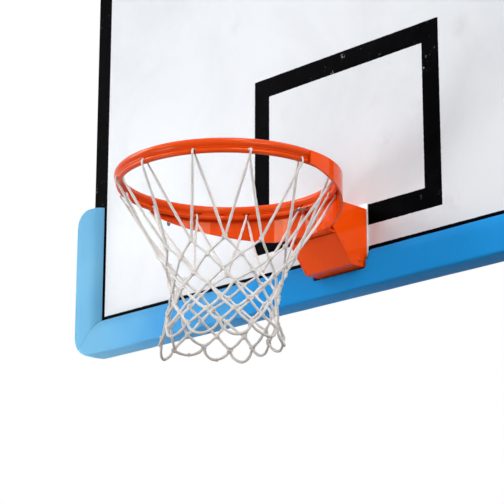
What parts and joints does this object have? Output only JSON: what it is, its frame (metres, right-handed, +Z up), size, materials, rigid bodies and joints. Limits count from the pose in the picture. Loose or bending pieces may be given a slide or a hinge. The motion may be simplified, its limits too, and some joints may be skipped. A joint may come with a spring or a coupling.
{
  "type": "basketball goal",
  "caption": "Basketball goal: backboard with edge pads and rear frame, and a spring-hinged ring with a hung cord net.",
  "frame": {"origin": "centre of the structure plate's rear face, half way up the board and on its middle line", "axes": "+X to the right as a player sees the board, +Y from the board's face to its back, +Z up"},
  "size_m": [1.9, 0.7199, 1.2919],
  "materials": {
    "board_white": "satin paint with printed-on black lines",
    "ring_orange": "glossy powder coat",
    "zinc_plate": "zinc plated",
    "pad_blue": "soft moulded skin, satin",
    "net_cord": "braided cord",
    "frame_steel": "grey paint",
    "bolt_steel": "zinc plated",
    "spring_steel": "dark steel",
    "rubber_black": "matte",
    "cap_black": "matte"
  },
  "bodies": {
    "backboard": {"board_panel": "board_white", "hinge_pin": "ring_orange", "ring_mounting_plate": "zinc_plate", "hinge_lug_left": "zinc_plate", "hinge_lug_right": "zinc_plate", "edge_pad_bottom": "pad_blue", "edge_pad_left": "pad_blue", "edge_pad_right": "pad_blue", "frame_stile_left": "frame_steel", "frame_stile_right": "frame_steel", "frame_rail_top": "frame_steel", "frame_rail_bottom": "frame_steel", "frame_mullion_left": "frame_steel", "frame_mullion_right": "frame_steel", "structure_plate": "frame_steel", "ring_anchor_plate": "frame_steel", "ring_bolt_1": "bolt_steel", "ring_bolt_2": "bolt_steel", "ring_bolt_3": "bolt_steel", "ring_bolt_4": "bolt_steel", "spacer_sleeve_1": "bolt_steel", "spacer_sleeve_2": "bolt_steel", "spacer_sleeve_3": "bolt_steel", "spacer_sleeve_4": "bolt_steel", "ring_nut_1": "bolt_steel", "ring_nut_2": "bolt_steel", "ring_nut_3": "bolt_steel", "ring_nut_4": "bolt_steel", "spring_rod_left": "bolt_steel", "spring_rod_right": "bolt_steel", "spring_washer_left": "bolt_steel", "spring_washer_right": "bolt_steel", "spring_nut_left": "bolt_steel", "spring_nut_right": "bolt_steel", "hinge_pin_clip": "spring_steel", "return_spring_left": "spring_steel", "return_spring_right": "spring_steel", "stop_buffer_left": "rubber_black", "stop_buffer_right": "rubber_black", "frame_cap_top_left": "cap_black", "frame_cap_top_right": "cap_black", "frame_cap_bottom_left": "cap_black", "frame_cap_bottom_right": "cap_black"},
    "ring": {"ring_rod": "ring_orange", "net_rod": "ring_orange", "wrap_band": "ring_orange", "housing_top_plate": "ring_orange", "housing_cheek_left": "ring_orange", "housing_cheek_right": "ring_orange", "housing_lower_cover": "ring_orange", "housing_back_plate": "ring_orange", "arm_gusset_left": "ring_orange", "arm_gusset_right": "ring_orange", "arm_bottom_plate": "ring_orange", "cover_screw_left": "ring_orange", "cover_screw_right": "ring_orange", "net": "net_cord", "net_tie_wire": "spring_steel", "net_tie_hook": "spring_steel"}
  },
  "joints": [
    {"name": "ring_tilt", "type": "hinge", "parent": "backboard", "child": "ring", "pos_m": [0, -0.1086, -0.513], "axis": [1, 0, 0], "range_deg": [0, 30], "stiffness_Nm_per_rad": 700, "springref_deg": -42.97, "deforming": ["net", "return_spring_left", "return_spring_right"]}
  ]
}
